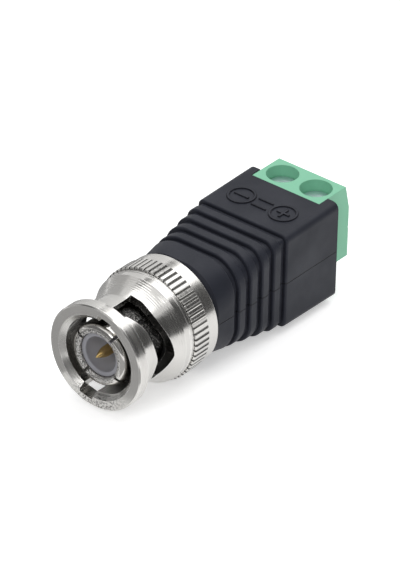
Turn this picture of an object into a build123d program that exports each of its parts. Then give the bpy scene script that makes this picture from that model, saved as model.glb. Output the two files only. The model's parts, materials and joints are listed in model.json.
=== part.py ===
from build123d import *
import math
import os

os.makedirs("parts", exist_ok=True)

# Frame: the plug's axis is Y, the mouth faces -Y and the terminals face +Y.
# The origin is on that axis, in the plane of the coupling nut's front face.

# Fits
running_gap = 0.07
seat_gap = 0.03
wall_gap = 0.05

# Pin, insulator and outer contact, radii from the axis outward
pin_r = 0.675
pin_tip_r = 0.06
pin_shank_r = pin_r + 0.225
pin_tail_r = pin_shank_r + 0.2
solder_cup_r = pin_tail_r - 0.6
cup_r = 2.25
cup_wall = 0.5
cup_round = 0.2
cup_outer_r = cup_r + cup_wall
contact_bore_r = cup_outer_r + wall_gap
contact_wall = 1.25
contact_nose = 0.8
contact_lip = 0.35
contact_r = contact_bore_r + contact_wall
contact_slot_width = 0.38
contact_slot_angle = 55.5
contact_slot_count = 4

# Plug body, radii
seat_step = 0.55
contact_tail_r = contact_r - seat_step
body_bore_r = contact_bore_r - seat_step
sleeve_r = body_bore_r - wall_gap
hub_r = contact_r + seat_step
grip_depth = 0.8
grip_r = hub_r - grip_depth

# Coupling nut, radii from the bore outward
jack_wall = 0.85
jack_bore_r = contact_r + jack_wall
mouth_bevel = 0.6
mouth_r = jack_bore_r + mouth_bevel
neck_wall = 0.85
neck_r = jack_bore_r + neck_wall
notch_r = neck_r + 0.15
flange_height = 1.05
flange_r = neck_r + flange_height
cavity_step = 1.3
cavity_r = jack_bore_r + cavity_step
body_flange_r = cavity_r - running_gap
snap_grip = 0.3
snap_outer_r = cavity_r + snap_grip
snap_groove_r = snap_outer_r + wall_gap
band_wall = 0.55
band_r = snap_groove_r + band_wall
barrel_r = band_r - 0.18
knurl_r = band_r + 0.15
shoulder_mid_r = neck_r + 0.4

# Stack inside the nut: spring washer, thrust washer and snap ring
spring_height = 1.0
spring_thickness = 0.25
spring_r = cavity_r - 0.2
thrust_thickness = 0.4
thrust_r = cavity_r - 0.1
snap_width = 0.6
snap_depth = 1.2
snap_inner_r = snap_outer_r - snap_depth
snap_gap = 1.2

# Coupling nut, stations from the front face to the rear
mouth_depth = 0.6
flange_length = 1.71
flange_chamfer = 0.16
neck_length = 3.49
neck_end = flange_length + neck_length
shoulder_length = 3.0
shoulder_mid = neck_end + shoulder_length / 2
shoulder_end = neck_end + shoulder_length
body_front = shoulder_end + seat_gap
body_flange_length = 1.17
body_flange_end = body_front + body_flange_length
spring_front = body_flange_end + seat_gap
thrust_front = spring_front + spring_height + seat_gap
snap_front = thrust_front + thrust_thickness + seat_gap
snap_rear = snap_front + snap_width
rear_lip = 2.48
nut_length = snap_rear + rear_lip

# Knurl, with a raised lead and a fine relief before it
band_length = 1.82
knurl_length = 2.57
knurl_end = nut_length - band_length
knurl_start = knurl_end - knurl_length
knurl_count = 60
knurl_depth = 0.3
knurl_gap_root = 0.34
knurl_gap_angle = 115
knurl_chamfer = 0.12
knurl_lead = 0.55
knurl_lead_rise = 0.07
knurl_relief = 0.1

# Bayonet cam of the nut: each station is an angle, the ramp edge and the rear edge of the window
notch_angle = 77
notch_width = 2.0
notch_run = 0.75
notch_rear = neck_end + notch_run
ramp_start = flange_length + 0.64
ramp_stations = (
    (notch_angle, ramp_start, notch_rear),
    (62, ramp_start + 0.67, notch_rear),
    (48, ramp_start + 1.27, notch_rear),
    (35, ramp_start + 1.59, notch_rear + 0.21),
    (21, ramp_start + 1.71, notch_rear + 0.54),
    (9, ramp_start + 1.89, notch_rear + 0.81),
    (-4, ramp_start + 2.03, notch_rear + 0.98),
)
detent_stations = (
    ramp_stations[-1],
    (-12, ramp_start + 1.81, notch_rear + 0.59),
    (-19, ramp_start + 1.73, notch_rear + 0.13),
    (-25, ramp_start + 1.73, notch_rear - 0.36),
    (-29.5, ramp_start + 1.79, notch_rear - 0.87),
)
cutter_reach = 0.4

# Plug, insulator and pin, stations
contact_front = 0.45
contact_slot_length = 6.0
contact_seat = body_flange_end + 0.2
gasket_length = 0.8
collar_gap = 0.28
collar_front = nut_length + collar_gap
grip_inset = 1.15
grip_length = 1.2
grip_start = collar_front + grip_inset
grip_end = grip_start + grip_length
body_end = grip_end + grip_length
insulator_inset = 0.5
insulator_front = contact_front + insulator_inset
insulator_end = body_end + 0.4
cup_depth = 4.55
cup_floor = insulator_front + cup_depth
pin_front = 0.24
pin_taper = 2.0
pin_tail_start = grip_start - 0.4
pin_reach = 1.4
pin_end = body_end + pin_reach
solder_cup_depth = 2.0

# Clamps and terminal block, heights from the current bar, which lies on the plug's axis
bar_thickness = 0.7
bar_top = bar_thickness / 2
clamp_opening = 1.85
clamp_travel = 1.1
cage_wall = 0.5
cage_top_wall = 1.0
cage_top = bar_top + wall_gap + cage_top_wall
cage_bottom = -bar_top - clamp_opening - cage_wall
cage_floor = cage_bottom - wall_gap
shelf_bottom = cage_top + clamp_travel + 0.1
shelf_thickness = 0.6
shelf_top = shelf_bottom + shelf_thickness
well_depth = 3.4
block_top = shelf_top + well_depth
block_step = 1.5
block_step_z = block_top - block_step
block_bottom = cage_floor - 0.55
block_slant = 3.1
block_slant_z = block_top - block_slant
block_groove_z = bar_top + 0.35
block_groove = 0.12

# Housing, heights and widths round the terminal block
pitch = 5.08
block_half_width = pitch
housing_rise = 0.08
housing_wall = 1.2
housing_side = 1.72
rear_cavity_half_height = block_step_z + 0.18 - housing_rise
box_half_front = rear_cavity_half_height + housing_wall
box_draft = 0.19
box_half_rear = box_half_front + box_draft
box_half_width = block_half_width + housing_side
box_edge = 0.25

# Housing collar and ribs
collar_rise = 0.15
seam_z = 0.0
collar_step = 0.75
collar_half = band_r - collar_step
collar_flat = 0.75
collar_corner = collar_half - collar_flat
collar_chamfer = 0.5
collar_length = 3.88
groove_width = 0.8
groove_depth = 0.5
groove_pitch = 2.07
groove_count = 5
groove_first = collar_front + collar_length
rib_setback = 1.54
rib_round = 0.22
box_corner = groove_depth + 0.4
box_front = groove_first + groove_count * groove_pitch - rib_setback
box_length = 9.76
box_end = box_front + box_length
core_overlap = 1.0

# Housing, inside
front_cavity_half = hub_r + 0.1
front_cavity_corner = 1.8
cavity_inset = 0.8
cavity_start = body_end + cavity_inset
rear_cavity_front = box_front + 0.66
post_r = 0.45
post_height = 0.9
front_post_inset = 0.98
rear_post_inset = 0.83
rear_post_reach = 2.9

# Polarity marks on the top
mark_height = 0.14
mark_line = 0.3
mark_root = 0.2
mark_circle_r = 1.65
mark_x = 3.15
mark_inset = 3.76
mark_y = box_front + mark_inset
mark_bar = 2.1
mark_cross = 1.8
link_bar = 2.2
link_bar_width = 0.2
link_bar_pitch = 1.5

# Terminal block, stations
block_seat = 3.6
block_neck = 2.02
block_front = box_end - block_seat
block_step_y = block_front + block_neck
notch_front = block_step_y - 0.06
rear_wall_front = block_step_y + 0.13
well_r = 2.0
well_wall = 0.63
well_y = block_step_y + well_r + well_wall
cage_half_length = 1.8
block_wall = 1.5
block_rear = well_y + cage_half_length + block_wall
block_top_rear = block_rear - 0.75

# Clamps
screw_head_r = well_r - running_gap
screw_head_height = 1.9
screw_slot_width = 0.55
screw_slot_depth = 0.7
screw_chamfer = 0.15
screw_tip = bar_top + 0.15
bar_half_width = 1.2
bar_inset = 1.2
bar_front = block_front + bar_inset
bar_rear = well_y + cage_half_length - 0.25
screw_r = bar_half_width + 0.05
cage_half_width = bar_half_width + 0.2 + cage_wall
cage_round = 0.3
entry_width = 3.0
entry_bottom = cage_bottom + 0.4
entry_top = bar_top
entry_round = 0.5
leg_bottom = housing_rise - rear_cavity_half_height + 0.12
link_r = 0.42
link_rise = 0.7
link_z = leg_bottom + link_rise
link_lead = 3.0
link_bend = 1.5
ground_link_inset = 0.75
ground_link_x = body_bore_r + ground_link_inset


def station(y):
    """The plane across the axis at y, seen from the front with X to the right."""
    return Plane.XZ.offset(-y)


def housing_station(y):
    """The same plane, centred on the housing's box, which sits a touch above the plug's axis."""
    return Plane((0, y, housing_rise), x_dir=(1, 0, 0), z_dir=(0, -1, 0))


def collar_station(y):
    """The same plane, centred on the collar and the ribs."""
    return Plane((0, y, collar_rise), x_dir=(1, 0, 0), z_dir=(0, -1, 0))


def radial(angle):
    """The half plane through the axis at this angle: local x is the radius, local y is Y."""
    cosine = math.cos(math.radians(angle))
    sine = math.sin(math.radians(angle))
    return Plane((0, 0, 0), x_dir=(cosine, 0, sine), z_dir=(-sine, 0, cosine))


def between(start, end, share):
    """The value at this share of the way from start to end."""
    return start + (end - start) * share


# Window cutter of the nut: a curved wedge that follows the cam, from the entry notch to the detent
window_inner = jack_bore_r - cutter_reach
window_outer = knurl_r
window_middle = (window_inner + window_outer) / 2
window_depth = window_outer - window_inner

with BuildPart() as cam_window:
    for angle, ramp, rear in ramp_stations:
        with BuildSketch(radial(angle)):
            with Locations((window_middle, (ramp + rear) / 2)):
                Rectangle(window_depth, rear - ramp)
    loft()
    for angle, ramp, rear in detent_stations:
        with BuildSketch(radial(angle)):
            with Locations((window_middle, (ramp + rear) / 2)):
                Rectangle(window_depth, rear - ramp)
    loft()
    with BuildSketch(station(flange_length)):
        with PolarLocations(window_middle, 1, start_angle=notch_angle):
            Rectangle(window_depth, notch_width)
    extrude(amount=flange_length - notch_rear)

# Coupling nut: turned blank with a knurl, then its bores, entry notches and cam windows
lead_start = knurl_start - knurl_lead

with BuildPart() as coupling_nut:
    with BuildSketch(Plane.XY):
        with BuildLine():
            Polyline(
                (0, 0),
                (flange_r - flange_chamfer, 0),
                (flange_r, flange_chamfer),
                (flange_r, flange_length - flange_chamfer),
                (flange_r - flange_chamfer, flange_length),
                (neck_r, flange_length),
                (neck_r, neck_end),
            )
            ThreePointArc(
                (neck_r, neck_end),
                (shoulder_mid_r, shoulder_mid),
                (barrel_r, shoulder_end),
            )
            Polyline(
                (barrel_r, shoulder_end),
                (barrel_r, lead_start),
                (barrel_r + knurl_lead_rise, lead_start + knurl_lead_rise),
                (barrel_r + knurl_lead_rise, knurl_start - knurl_relief),
                (barrel_r, knurl_start - knurl_relief),
                (barrel_r, knurl_start),
                (knurl_r - knurl_chamfer, knurl_start),
                (knurl_r, knurl_start + knurl_chamfer),
                (knurl_r, knurl_end - knurl_chamfer),
                (knurl_r - knurl_chamfer, knurl_end),
                (band_r, knurl_end),
                (band_r, nut_length - flange_chamfer),
                (band_r - flange_chamfer, nut_length),
                (0, nut_length),
                (0, 0),
            )
        make_face()
    revolve(axis=Axis.Y)
    with BuildSketch(station(knurl_start)):
        with PolarLocations(knurl_r - knurl_depth / 2, knurl_count):
            Trapezoid(knurl_gap_root, knurl_depth, knurl_gap_angle, rotation=90)
    extrude(amount=knurl_start - knurl_end, mode=Mode.SUBTRACT)
    with BuildSketch(Plane.XY):
        with BuildLine():
            Polyline(
                (0, 0),
                (mouth_r, 0),
                (jack_bore_r, mouth_depth),
                (jack_bore_r, shoulder_end),
                (cavity_r, shoulder_end),
                (cavity_r, snap_front - seat_gap),
                (snap_groove_r, snap_front - seat_gap),
                (snap_groove_r, snap_rear + seat_gap),
                (cavity_r, snap_rear + seat_gap),
                (cavity_r, nut_length),
                (0, nut_length),
                (0, 0),
            )
        make_face()
    revolve(axis=Axis.Y, mode=Mode.SUBTRACT)
    with BuildSketch(station(0)):
        with PolarLocations(notch_r / 2, 2, start_angle=notch_angle):
            Rectangle(notch_r, notch_width)
    extrude(amount=-ramp_stations[1][1], mode=Mode.SUBTRACT)
    for turn in (0, 180):
        add(cam_window.part.rotate(Axis.Y, turn), mode=Mode.SUBTRACT)

# Outer contact: turned barrel with a rounded nose, slotted into four fingers
with BuildPart() as outer_contact:
    with BuildSketch(Plane.XY):
        with BuildLine():
            RadiusArc(
                (contact_bore_r, contact_front + contact_lip),
                (contact_bore_r + contact_lip, contact_front),
                -contact_lip,
            )
            Line((contact_bore_r + contact_lip, contact_front), (contact_r - contact_nose, contact_front))
            RadiusArc(
                (contact_r - contact_nose, contact_front),
                (contact_r, contact_front + contact_nose),
                -contact_nose,
            )
            Polyline(
                (contact_r, contact_front + contact_nose),
                (contact_r, body_front),
                (contact_tail_r - seat_gap, body_front),
                (contact_tail_r - seat_gap, contact_seat - seat_gap),
                (contact_bore_r, contact_seat - seat_gap),
                (contact_bore_r, contact_front + contact_lip),
            )
        make_face()
    revolve(axis=Axis.Y)
    with BuildSketch(station(0)):
        with PolarLocations(contact_r, contact_slot_count, start_angle=contact_slot_angle):
            Rectangle(contact_r, contact_slot_width)
    extrude(amount=-contact_slot_length, mode=Mode.SUBTRACT)

# Plug body: flange for the nut, hub for the washers and a grooved tail for the shells
with BuildPart() as plug_body:
    with BuildSketch(Plane.XY):
        with BuildLine():
            Polyline(
                (contact_tail_r, body_front),
                (body_flange_r, body_front),
                (body_flange_r, body_flange_end),
                (hub_r, body_flange_end),
                (hub_r, grip_start),
                (grip_r, grip_start),
                (grip_r, grip_end),
                (hub_r, grip_end),
                (hub_r, body_end),
                (body_bore_r, body_end),
                (body_bore_r, contact_seat),
                (contact_tail_r, contact_seat),
                (contact_tail_r, body_front),
            )
        make_face()
    revolve(axis=Axis.Y)

# Gasket: rubber ring at the foot of the contact
with BuildPart() as gasket:
    with BuildSketch(station(body_front - gasket_length)):
        Circle(jack_bore_r - wall_gap)
        Circle(contact_r + wall_gap, mode=Mode.SUBTRACT)
    extrude(amount=-gasket_length)

# Spring washer: a ring bowed along X, its middle on the thrust washer and its sides on the flange
washer_bore_r = hub_r + running_gap
bow = spring_height - spring_thickness
spring_edge = (spring_r, spring_front)
spring_crown = (0, spring_front + bow)

with BuildPart() as spring_washer:
    with BuildSketch(Plane.XY):
        with BuildLine():
            ThreePointArc((-spring_r, spring_front), spring_crown, spring_edge)
            Line(spring_edge, (spring_r, spring_front + spring_thickness))
            ThreePointArc(
                (spring_r, spring_front + spring_thickness),
                (0, spring_front + spring_height),
                (-spring_r, spring_front + spring_thickness),
            )
            Line((-spring_r, spring_front + spring_thickness), (-spring_r, spring_front))
        make_face()
    extrude(amount=spring_r, both=True)
    with BuildSketch(station(spring_front)):
        Circle(spring_r)
        Circle(washer_bore_r, mode=Mode.SUBTRACT)
    extrude(amount=-spring_height, mode=Mode.INTERSECT)

# Thrust washer
with BuildPart() as thrust_washer:
    with BuildSketch(station(thrust_front)):
        Circle(thrust_r)
        Circle(washer_bore_r, mode=Mode.SUBTRACT)
    extrude(amount=-thrust_thickness)

# Retaining ring: a split ring in the nut's inner groove
with BuildPart() as retaining_ring:
    with BuildSketch(station(snap_front)):
        Circle(snap_outer_r)
        Circle(snap_inner_r, mode=Mode.SUBTRACT)
        with Locations((0, -snap_outer_r)):
            Rectangle(snap_gap, snap_outer_r, mode=Mode.SUBTRACT)
    extrude(amount=-snap_width)

# Insulator: cup in front, sleeve through the plug body behind
pin_bore_r = pin_shank_r + seat_gap

with BuildPart() as insulator:
    with BuildSketch(Plane.XY):
        with BuildLine():
            RadiusArc(
                (cup_r, insulator_front + cup_round),
                (cup_r + cup_round, insulator_front),
                -cup_round,
            )
            Polyline(
                (cup_r + cup_round, insulator_front),
                (cup_outer_r, insulator_front),
                (cup_outer_r, contact_seat - seat_gap),
                (sleeve_r, contact_seat - seat_gap),
                (sleeve_r, insulator_end),
                (pin_tail_r + seat_gap, insulator_end),
                (pin_tail_r + seat_gap, pin_tail_start - seat_gap),
                (pin_bore_r, pin_tail_start - seat_gap),
                (pin_bore_r, cup_floor),
                (cup_r, cup_floor),
                (cup_r, insulator_front + cup_round),
            )
        make_face()
    revolve(axis=Axis.Y)

# Centre pin: pointed tip in front, solder cup behind
with BuildPart() as centre_pin:
    with BuildSketch(Plane.XY):
        with BuildLine():
            Line((0, pin_front), (pin_tip_r, pin_front))
            Spline(
                (pin_tip_r, pin_front),
                (pin_r, pin_front + pin_taper),
                tangents=((1, 2), (0, 1)),
            )
            Polyline(
                (pin_r, pin_front + pin_taper),
                (pin_r, cup_floor),
                (pin_shank_r, cup_floor),
                (pin_shank_r, pin_tail_start),
                (pin_tail_r, pin_tail_start),
                (pin_tail_r, pin_end),
                (solder_cup_r, pin_end),
                (solder_cup_r, pin_end - solder_cup_depth),
                (0, pin_end - solder_cup_depth),
                (0, pin_front),
            )
        make_face()
    revolve(axis=Axis.Y)

# Housing form: a collar that turns from round to square, ribs over a core, and the square box
collar_end = groove_first - groove_width / 2


def draw_section(y, inset):
    """The housing's outline at y, from nearly round at the collar to the box's square, drawn in by inset."""
    share = (y - collar_front) / (box_front - collar_front)
    half_width = between(collar_half, box_half_width, share)
    half_height = between(collar_half, box_half_front, share)
    corner = between(collar_corner, box_corner, share)
    with BuildSketch(collar_station(y)) as section:
        RectangleRounded(2 * (half_width - inset), 2 * (half_height - inset), corner - inset)
    return section.sketch


with BuildPart() as collar:
    add(draw_section(collar_front, 0))
    add(draw_section(collar_end, 0))
    loft(ruled=True)
    chamfer(collar.faces().sort_by(Axis.Y)[0].edges(), collar_chamfer)
    fillet(collar.faces().sort_by(Axis.Y)[-1].edges(), rib_round)

with BuildPart() as ribs:
    for index in range(groove_count - 1):
        rib_front = groove_first + index * groove_pitch + groove_width / 2
        extrude(draw_section(rib_front, 0), amount=groove_width - groove_pitch)
    fillet(ribs.faces().filter_by(Axis.Y).edges(), rib_round)

with BuildPart() as box:
    with BuildSketch(housing_station(box_front)):
        RectangleRounded(2 * box_half_width, 2 * box_half_front, box_corner)
    with BuildSketch(housing_station(box_end)):
        RectangleRounded(2 * box_half_width, 2 * box_half_rear, box_corner)
    loft(ruled=True)
    fillet(box.faces().sort_by(Axis.Y)[0].edges(), box_edge)

with BuildPart() as housing_form:
    add(draw_section(collar_end - core_overlap, groove_depth))
    add(draw_section(box_front, groove_depth))
    loft(ruled=True)
    extrude(draw_section(box_front, groove_depth), amount=-core_overlap)
    add(collar.part)
    add(ribs.part)
    add(box.part)

# Hollow of the housing: grip on the plug body, a narrow room and the terminal block's place
block_room = block_half_width + wall_gap
post_places = (
    (collar_half - front_post_inset, cavity_start + post_r),
    (box_half_width - rear_post_inset, rear_cavity_front + rear_post_reach),
)

with BuildPart() as hollow:
    with BuildSketch(Plane.XY):
        with BuildLine():
            Polyline(
                (0, collar_front),
                (hub_r + wall_gap, collar_front),
                (hub_r + wall_gap, grip_start + seat_gap),
                (grip_r + wall_gap, grip_start + seat_gap),
                (grip_r + wall_gap, grip_end - seat_gap),
                (hub_r + wall_gap, grip_end - seat_gap),
                (hub_r + wall_gap, cavity_start),
                (0, cavity_start),
                (0, collar_front),
            )
        make_face()
    revolve(axis=Axis.Y)
    with BuildSketch(housing_station(cavity_start)):
        RectangleRounded(2 * front_cavity_half, 2 * front_cavity_half, front_cavity_corner)
    extrude(amount=cavity_start - rear_cavity_front)
    with BuildSketch(housing_station(rear_cavity_front)):
        Rectangle(2 * block_room, 2 * rear_cavity_half_height)
    extrude(amount=rear_cavity_front - rear_wall_front)
    with BuildSketch(Plane.YZ):
        with BuildLine():
            Polyline(
                (notch_front, block_bottom - seat_gap),
                (box_end, block_bottom - seat_gap),
                (box_end, box_half_rear + core_overlap),
                (notch_front, box_half_rear + core_overlap),
                (notch_front, block_bottom - seat_gap),
            )
        make_face()
    extrude(amount=block_room, both=True)

# Plane of the housing's top, on which the polarity marks stand
top_slope = (box_half_rear - box_half_front) / (box_end - box_front)
mark_z = housing_rise + box_half_front + top_slope * (mark_y - box_front)
top_plane = Plane((0, mark_y, mark_z), x_dir=(1, 0, 0), z_dir=(0, -top_slope, 1))

# Upper shell, with a minus in a ring, a plus in a ring and two bars between them
with BuildPart() as upper_shell:
    add(housing_form.part)
    add(hollow.part, mode=Mode.SUBTRACT)
    split(bisect_by=Plane.XY.offset(seam_z), keep=Keep.TOP)
    with BuildSketch(Plane.XY.offset(seam_z)):
        for x, y in post_places:
            with Locations((x, y), (-x, y)):
                Circle(post_r + wall_gap)
    extrude(amount=post_height + wall_gap, mode=Mode.SUBTRACT)
    with BuildSketch(top_plane.offset(-mark_root)):
        with Locations((-mark_x, 0), (mark_x, 0)):
            Circle(mark_circle_r + mark_line / 2)
            Circle(mark_circle_r - mark_line / 2, mode=Mode.SUBTRACT)
        with Locations((-mark_x, 0)):
            Rectangle(mark_bar, mark_line)
        with Locations((mark_x, 0)):
            Rectangle(mark_cross, mark_line)
            Rectangle(mark_line, mark_cross)
        with Locations((0, link_bar_pitch / 2), (0, -link_bar_pitch / 2)):
            Rectangle(link_bar, link_bar_width)
    extrude(amount=mark_root + mark_height)

# Lower shell, with the posts that line the two halves up
with BuildPart() as lower_shell:
    add(housing_form.part)
    add(hollow.part, mode=Mode.SUBTRACT)
    split(bisect_by=Plane.XY.offset(seam_z), keep=Keep.BOTTOM)
    with BuildSketch(Plane.XY.offset(seam_z)):
        for x, y in post_places:
            with Locations((x, y), (-x, y)):
                Circle(post_r)
    extrude(amount=post_height)

# Terminal block: one moulded body with two wells, two cage rooms and two wire entries
cage_room_x = cage_half_width + running_gap
cage_room_y = cage_half_length + running_gap
leg_room = bar_half_width + wall_gap
pole_places = (-pitch / 2, pitch / 2)

with BuildPart() as terminal_body:
    with BuildSketch(Plane.YZ):
        with BuildLine():
            Polyline(
                (block_front, block_bottom),
                (block_rear, block_bottom),
                (block_rear, block_groove_z - block_groove),
                (block_rear - block_groove, block_groove_z),
                (block_rear, block_groove_z + block_groove),
                (block_rear, block_slant_z),
                (block_top_rear, block_top),
                (block_step_y, block_top),
                (block_step_y, block_step_z),
                (block_front, block_step_z),
                (block_front, block_bottom),
            )
        make_face()
    extrude(amount=block_half_width, both=True)
    with BuildSketch(Plane.XY.offset(block_top)):
        with Locations(*[(x, well_y) for x in pole_places]):
            Circle(well_r)
    extrude(amount=shelf_top - block_top, mode=Mode.SUBTRACT)
    with BuildSketch(Plane.XY.offset(shelf_top)):
        with Locations(*[(x, well_y) for x in pole_places]):
            Circle(screw_r + running_gap)
    extrude(amount=shelf_bottom - shelf_top, mode=Mode.SUBTRACT)
    with BuildSketch(Plane.XY.offset(shelf_bottom)):
        with Locations(*[(x, well_y) for x in pole_places]):
            Rectangle(2 * cage_room_x, 2 * cage_room_y)
    extrude(amount=cage_floor - shelf_bottom, mode=Mode.SUBTRACT)
    with BuildSketch(Plane.XZ.offset(-well_y)):
        with Locations(*[(x, (entry_bottom + entry_top) / 2) for x in pole_places]):
            RectangleRounded(entry_width, entry_top - entry_bottom, entry_round)
    extrude(amount=well_y - block_rear, mode=Mode.SUBTRACT)
    with BuildSketch(Plane.YZ):
        with BuildLine():
            Polyline(
                (bar_front - seat_gap, block_bottom),
                (well_y, block_bottom),
                (well_y, cage_floor),
                (well_y, bar_top + seat_gap),
                (bar_front - seat_gap, bar_top + seat_gap),
                (bar_front - seat_gap, block_bottom),
            )
        make_face()
    leg_slot = extrude(amount=leg_room, both=True, mode=Mode.PRIVATE)
    for x in pole_places:
        add(Pos(x, 0, 0) * leg_slot, mode=Mode.SUBTRACT)


def make_screw(x):
    """Slotted screw in the well at x: its head turns on the shelf, its shank lifts the cage."""
    head_top = shelf_top + seat_gap + screw_head_height
    with BuildPart() as screw:
        with BuildSketch(Plane((x, well_y, shelf_top + seat_gap))):
            Circle(screw_head_r)
        extrude(amount=screw_head_height)
        chamfer(screw.faces().sort_by(Axis.Z)[-1].edges(), screw_chamfer)
        with BuildSketch(Plane((x, well_y, screw_tip))):
            Circle(screw_r)
        extrude(amount=shelf_top + 2 * seat_gap - screw_tip)
        with BuildSketch(Plane((x, well_y, head_top), x_dir=(1, 1, 0))):
            Rectangle(2 * well_r, screw_slot_width)
        extrude(amount=-screw_slot_depth, mode=Mode.SUBTRACT)
    return screw.part


def make_cage(x):
    """Rising cage at x: a square loop round the bar, with the screw through its thick top wall."""
    window_top = cage_top - cage_top_wall
    window_bottom = cage_bottom + cage_wall
    with BuildPart() as cage:
        with BuildSketch(Plane((x, well_y, cage_bottom))):
            Rectangle(2 * cage_half_width, 2 * cage_half_length)
        extrude(amount=cage_top - cage_bottom)
        with BuildSketch(Plane.XZ.offset(-well_y - cage_half_length)):
            with Locations((x, (window_top + window_bottom) / 2)):
                RectangleRounded(
                    2 * (cage_half_width - cage_wall), window_top - window_bottom, cage_round
                )
        extrude(amount=2 * cage_half_length, mode=Mode.SUBTRACT)
        with BuildSketch(Plane((x, well_y, cage_top))):
            Circle(screw_r + wall_gap)
        extrude(amount=-cage_top_wall - cage_round, mode=Mode.SUBTRACT)
    return cage.part


def make_terminal_pin(x):
    """Current bar at x: it passes through the cage and turns down into a tail."""
    with BuildPart() as terminal_pin:
        with BuildSketch(Plane.YZ.offset(x)):
            with BuildLine():
                Polyline(
                    (bar_front, bar_top),
                    (bar_rear, bar_top),
                    (bar_rear, -bar_top),
                    (bar_front + bar_thickness, -bar_top),
                    (bar_front + bar_thickness, leg_bottom),
                    (bar_front, leg_bottom),
                    (bar_front, bar_top),
                )
            make_face()
        extrude(amount=bar_half_width, both=True)
        top_edges = terminal_pin.edges().filter_by(Axis.X).sort_by(Axis.Z)[-2:]
        fillet(top_edges.sort_by(Axis.Y)[0], cage_round)
    return terminal_pin.part


def make_link(start_x, start_y, end_x):
    """Wire from the plug at start_x to the terminal's tail at end_x, with two bends."""
    with BuildPart() as link:
        with BuildLine():
            path = FilletPolyline(
                (start_x, start_y, 0),
                (start_x, start_y + link_lead, 0),
                (end_x, bar_front - link_lead, link_z),
                (end_x, bar_front - seat_gap, link_z),
                radius=link_bend,
            )
        with BuildSketch(Plane((start_x, start_y, 0), x_dir=(1, 0, 0), z_dir=(0, 1, 0))):
            Circle(link_r)
        sweep(path=path)
    return link.part


minus_x = pole_places[0]
plus_x = pole_places[1]
cup_bottom = pin_end - solder_cup_depth

pieces = {
    "coupling_nut": coupling_nut.part,
    "outer_contact": outer_contact.part,
    "plug_body": plug_body.part,
    "gasket": gasket.part,
    "spring_washer": spring_washer.part,
    "thrust_washer": thrust_washer.part,
    "retaining_ring": retaining_ring.part,
    "insulator": insulator.part,
    "centre_pin": centre_pin.part,
    "upper_shell": upper_shell.part,
    "lower_shell": lower_shell.part,
    "terminal_body": terminal_body.part,
    "clamp_screw_minus": make_screw(minus_x),
    "clamp_screw_plus": make_screw(plus_x),
    "clamp_cage_minus": make_cage(minus_x),
    "clamp_cage_plus": make_cage(plus_x),
    "terminal_pin_minus": make_terminal_pin(minus_x),
    "terminal_pin_plus": make_terminal_pin(plus_x),
    "centre_link": make_link(0, cup_bottom + seat_gap, plus_x),
    "ground_link": make_link(-ground_link_x, body_end + seat_gap, minus_x),
}

for name, piece in pieces.items():
    piece.label = name
    export_step(piece, f"parts/{name}.step")
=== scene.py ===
# %% [markdown]
# BNC screw terminal adapter: the looks.
# The construction comes in as a fixed frame of solids, in metres, with the plug's axis along Y and its
# mouth toward -Y. This lesson dresses it: it gives every piece a finish made from nodes, and sets up a
# plain studio with a camera where the photographer stood.

# %% Load the frame
import json
import math

import bmesh
import bpy
from mathutils import Euler, Matrix, Vector


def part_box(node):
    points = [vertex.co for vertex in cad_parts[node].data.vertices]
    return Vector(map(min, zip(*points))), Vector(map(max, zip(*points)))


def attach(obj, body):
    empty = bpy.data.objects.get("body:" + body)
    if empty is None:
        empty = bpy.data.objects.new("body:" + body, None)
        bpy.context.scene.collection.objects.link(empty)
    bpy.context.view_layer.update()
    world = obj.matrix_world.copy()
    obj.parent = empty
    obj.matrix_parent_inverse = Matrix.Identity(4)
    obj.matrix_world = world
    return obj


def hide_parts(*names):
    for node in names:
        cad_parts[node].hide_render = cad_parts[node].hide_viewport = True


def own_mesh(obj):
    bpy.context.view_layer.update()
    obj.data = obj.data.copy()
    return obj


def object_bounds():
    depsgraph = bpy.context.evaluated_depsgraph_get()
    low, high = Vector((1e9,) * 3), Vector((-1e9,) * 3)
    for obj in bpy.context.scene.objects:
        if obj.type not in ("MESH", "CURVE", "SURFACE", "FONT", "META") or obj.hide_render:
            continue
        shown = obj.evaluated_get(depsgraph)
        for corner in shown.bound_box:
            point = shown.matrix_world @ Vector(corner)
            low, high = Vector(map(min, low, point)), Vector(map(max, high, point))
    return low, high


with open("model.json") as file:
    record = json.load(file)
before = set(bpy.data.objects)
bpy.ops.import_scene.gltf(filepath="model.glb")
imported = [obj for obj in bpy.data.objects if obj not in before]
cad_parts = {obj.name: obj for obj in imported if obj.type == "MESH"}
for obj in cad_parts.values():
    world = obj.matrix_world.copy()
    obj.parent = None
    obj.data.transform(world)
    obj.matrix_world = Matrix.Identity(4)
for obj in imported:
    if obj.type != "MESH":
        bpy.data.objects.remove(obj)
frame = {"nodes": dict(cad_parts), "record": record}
cad_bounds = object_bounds()
nodes = frame["nodes"]
MM = 0.001
bpy.context.scene.view_settings.view_transform = "Standard"
print("nodes:", len(nodes), "bounds:", cad_bounds)

# %% [markdown]
# The camera. A long lens from far away keeps the adapter's edges nearly parallel, as in the photograph.
# It could be aimed with a Track To constraint, but a constraint can't lean. So the aim is built from
# angles: where the camera stands round the object and above it, and a roll of a degree or so, by which
# the picture leans.

# %% Camera
CAMERA_PLACE = Vector((0.339734, -0.408808, 0.347468))
CAMERA_AZIMUTH = math.radians(38.442)
CAMERA_ELEVATION = math.radians(32.392)
CAMERA_ROLL = math.radians(1.357)
SENSOR_WIDTH = 36.0
LENS = 495.15
FAR_CLIP = 10.0

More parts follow.
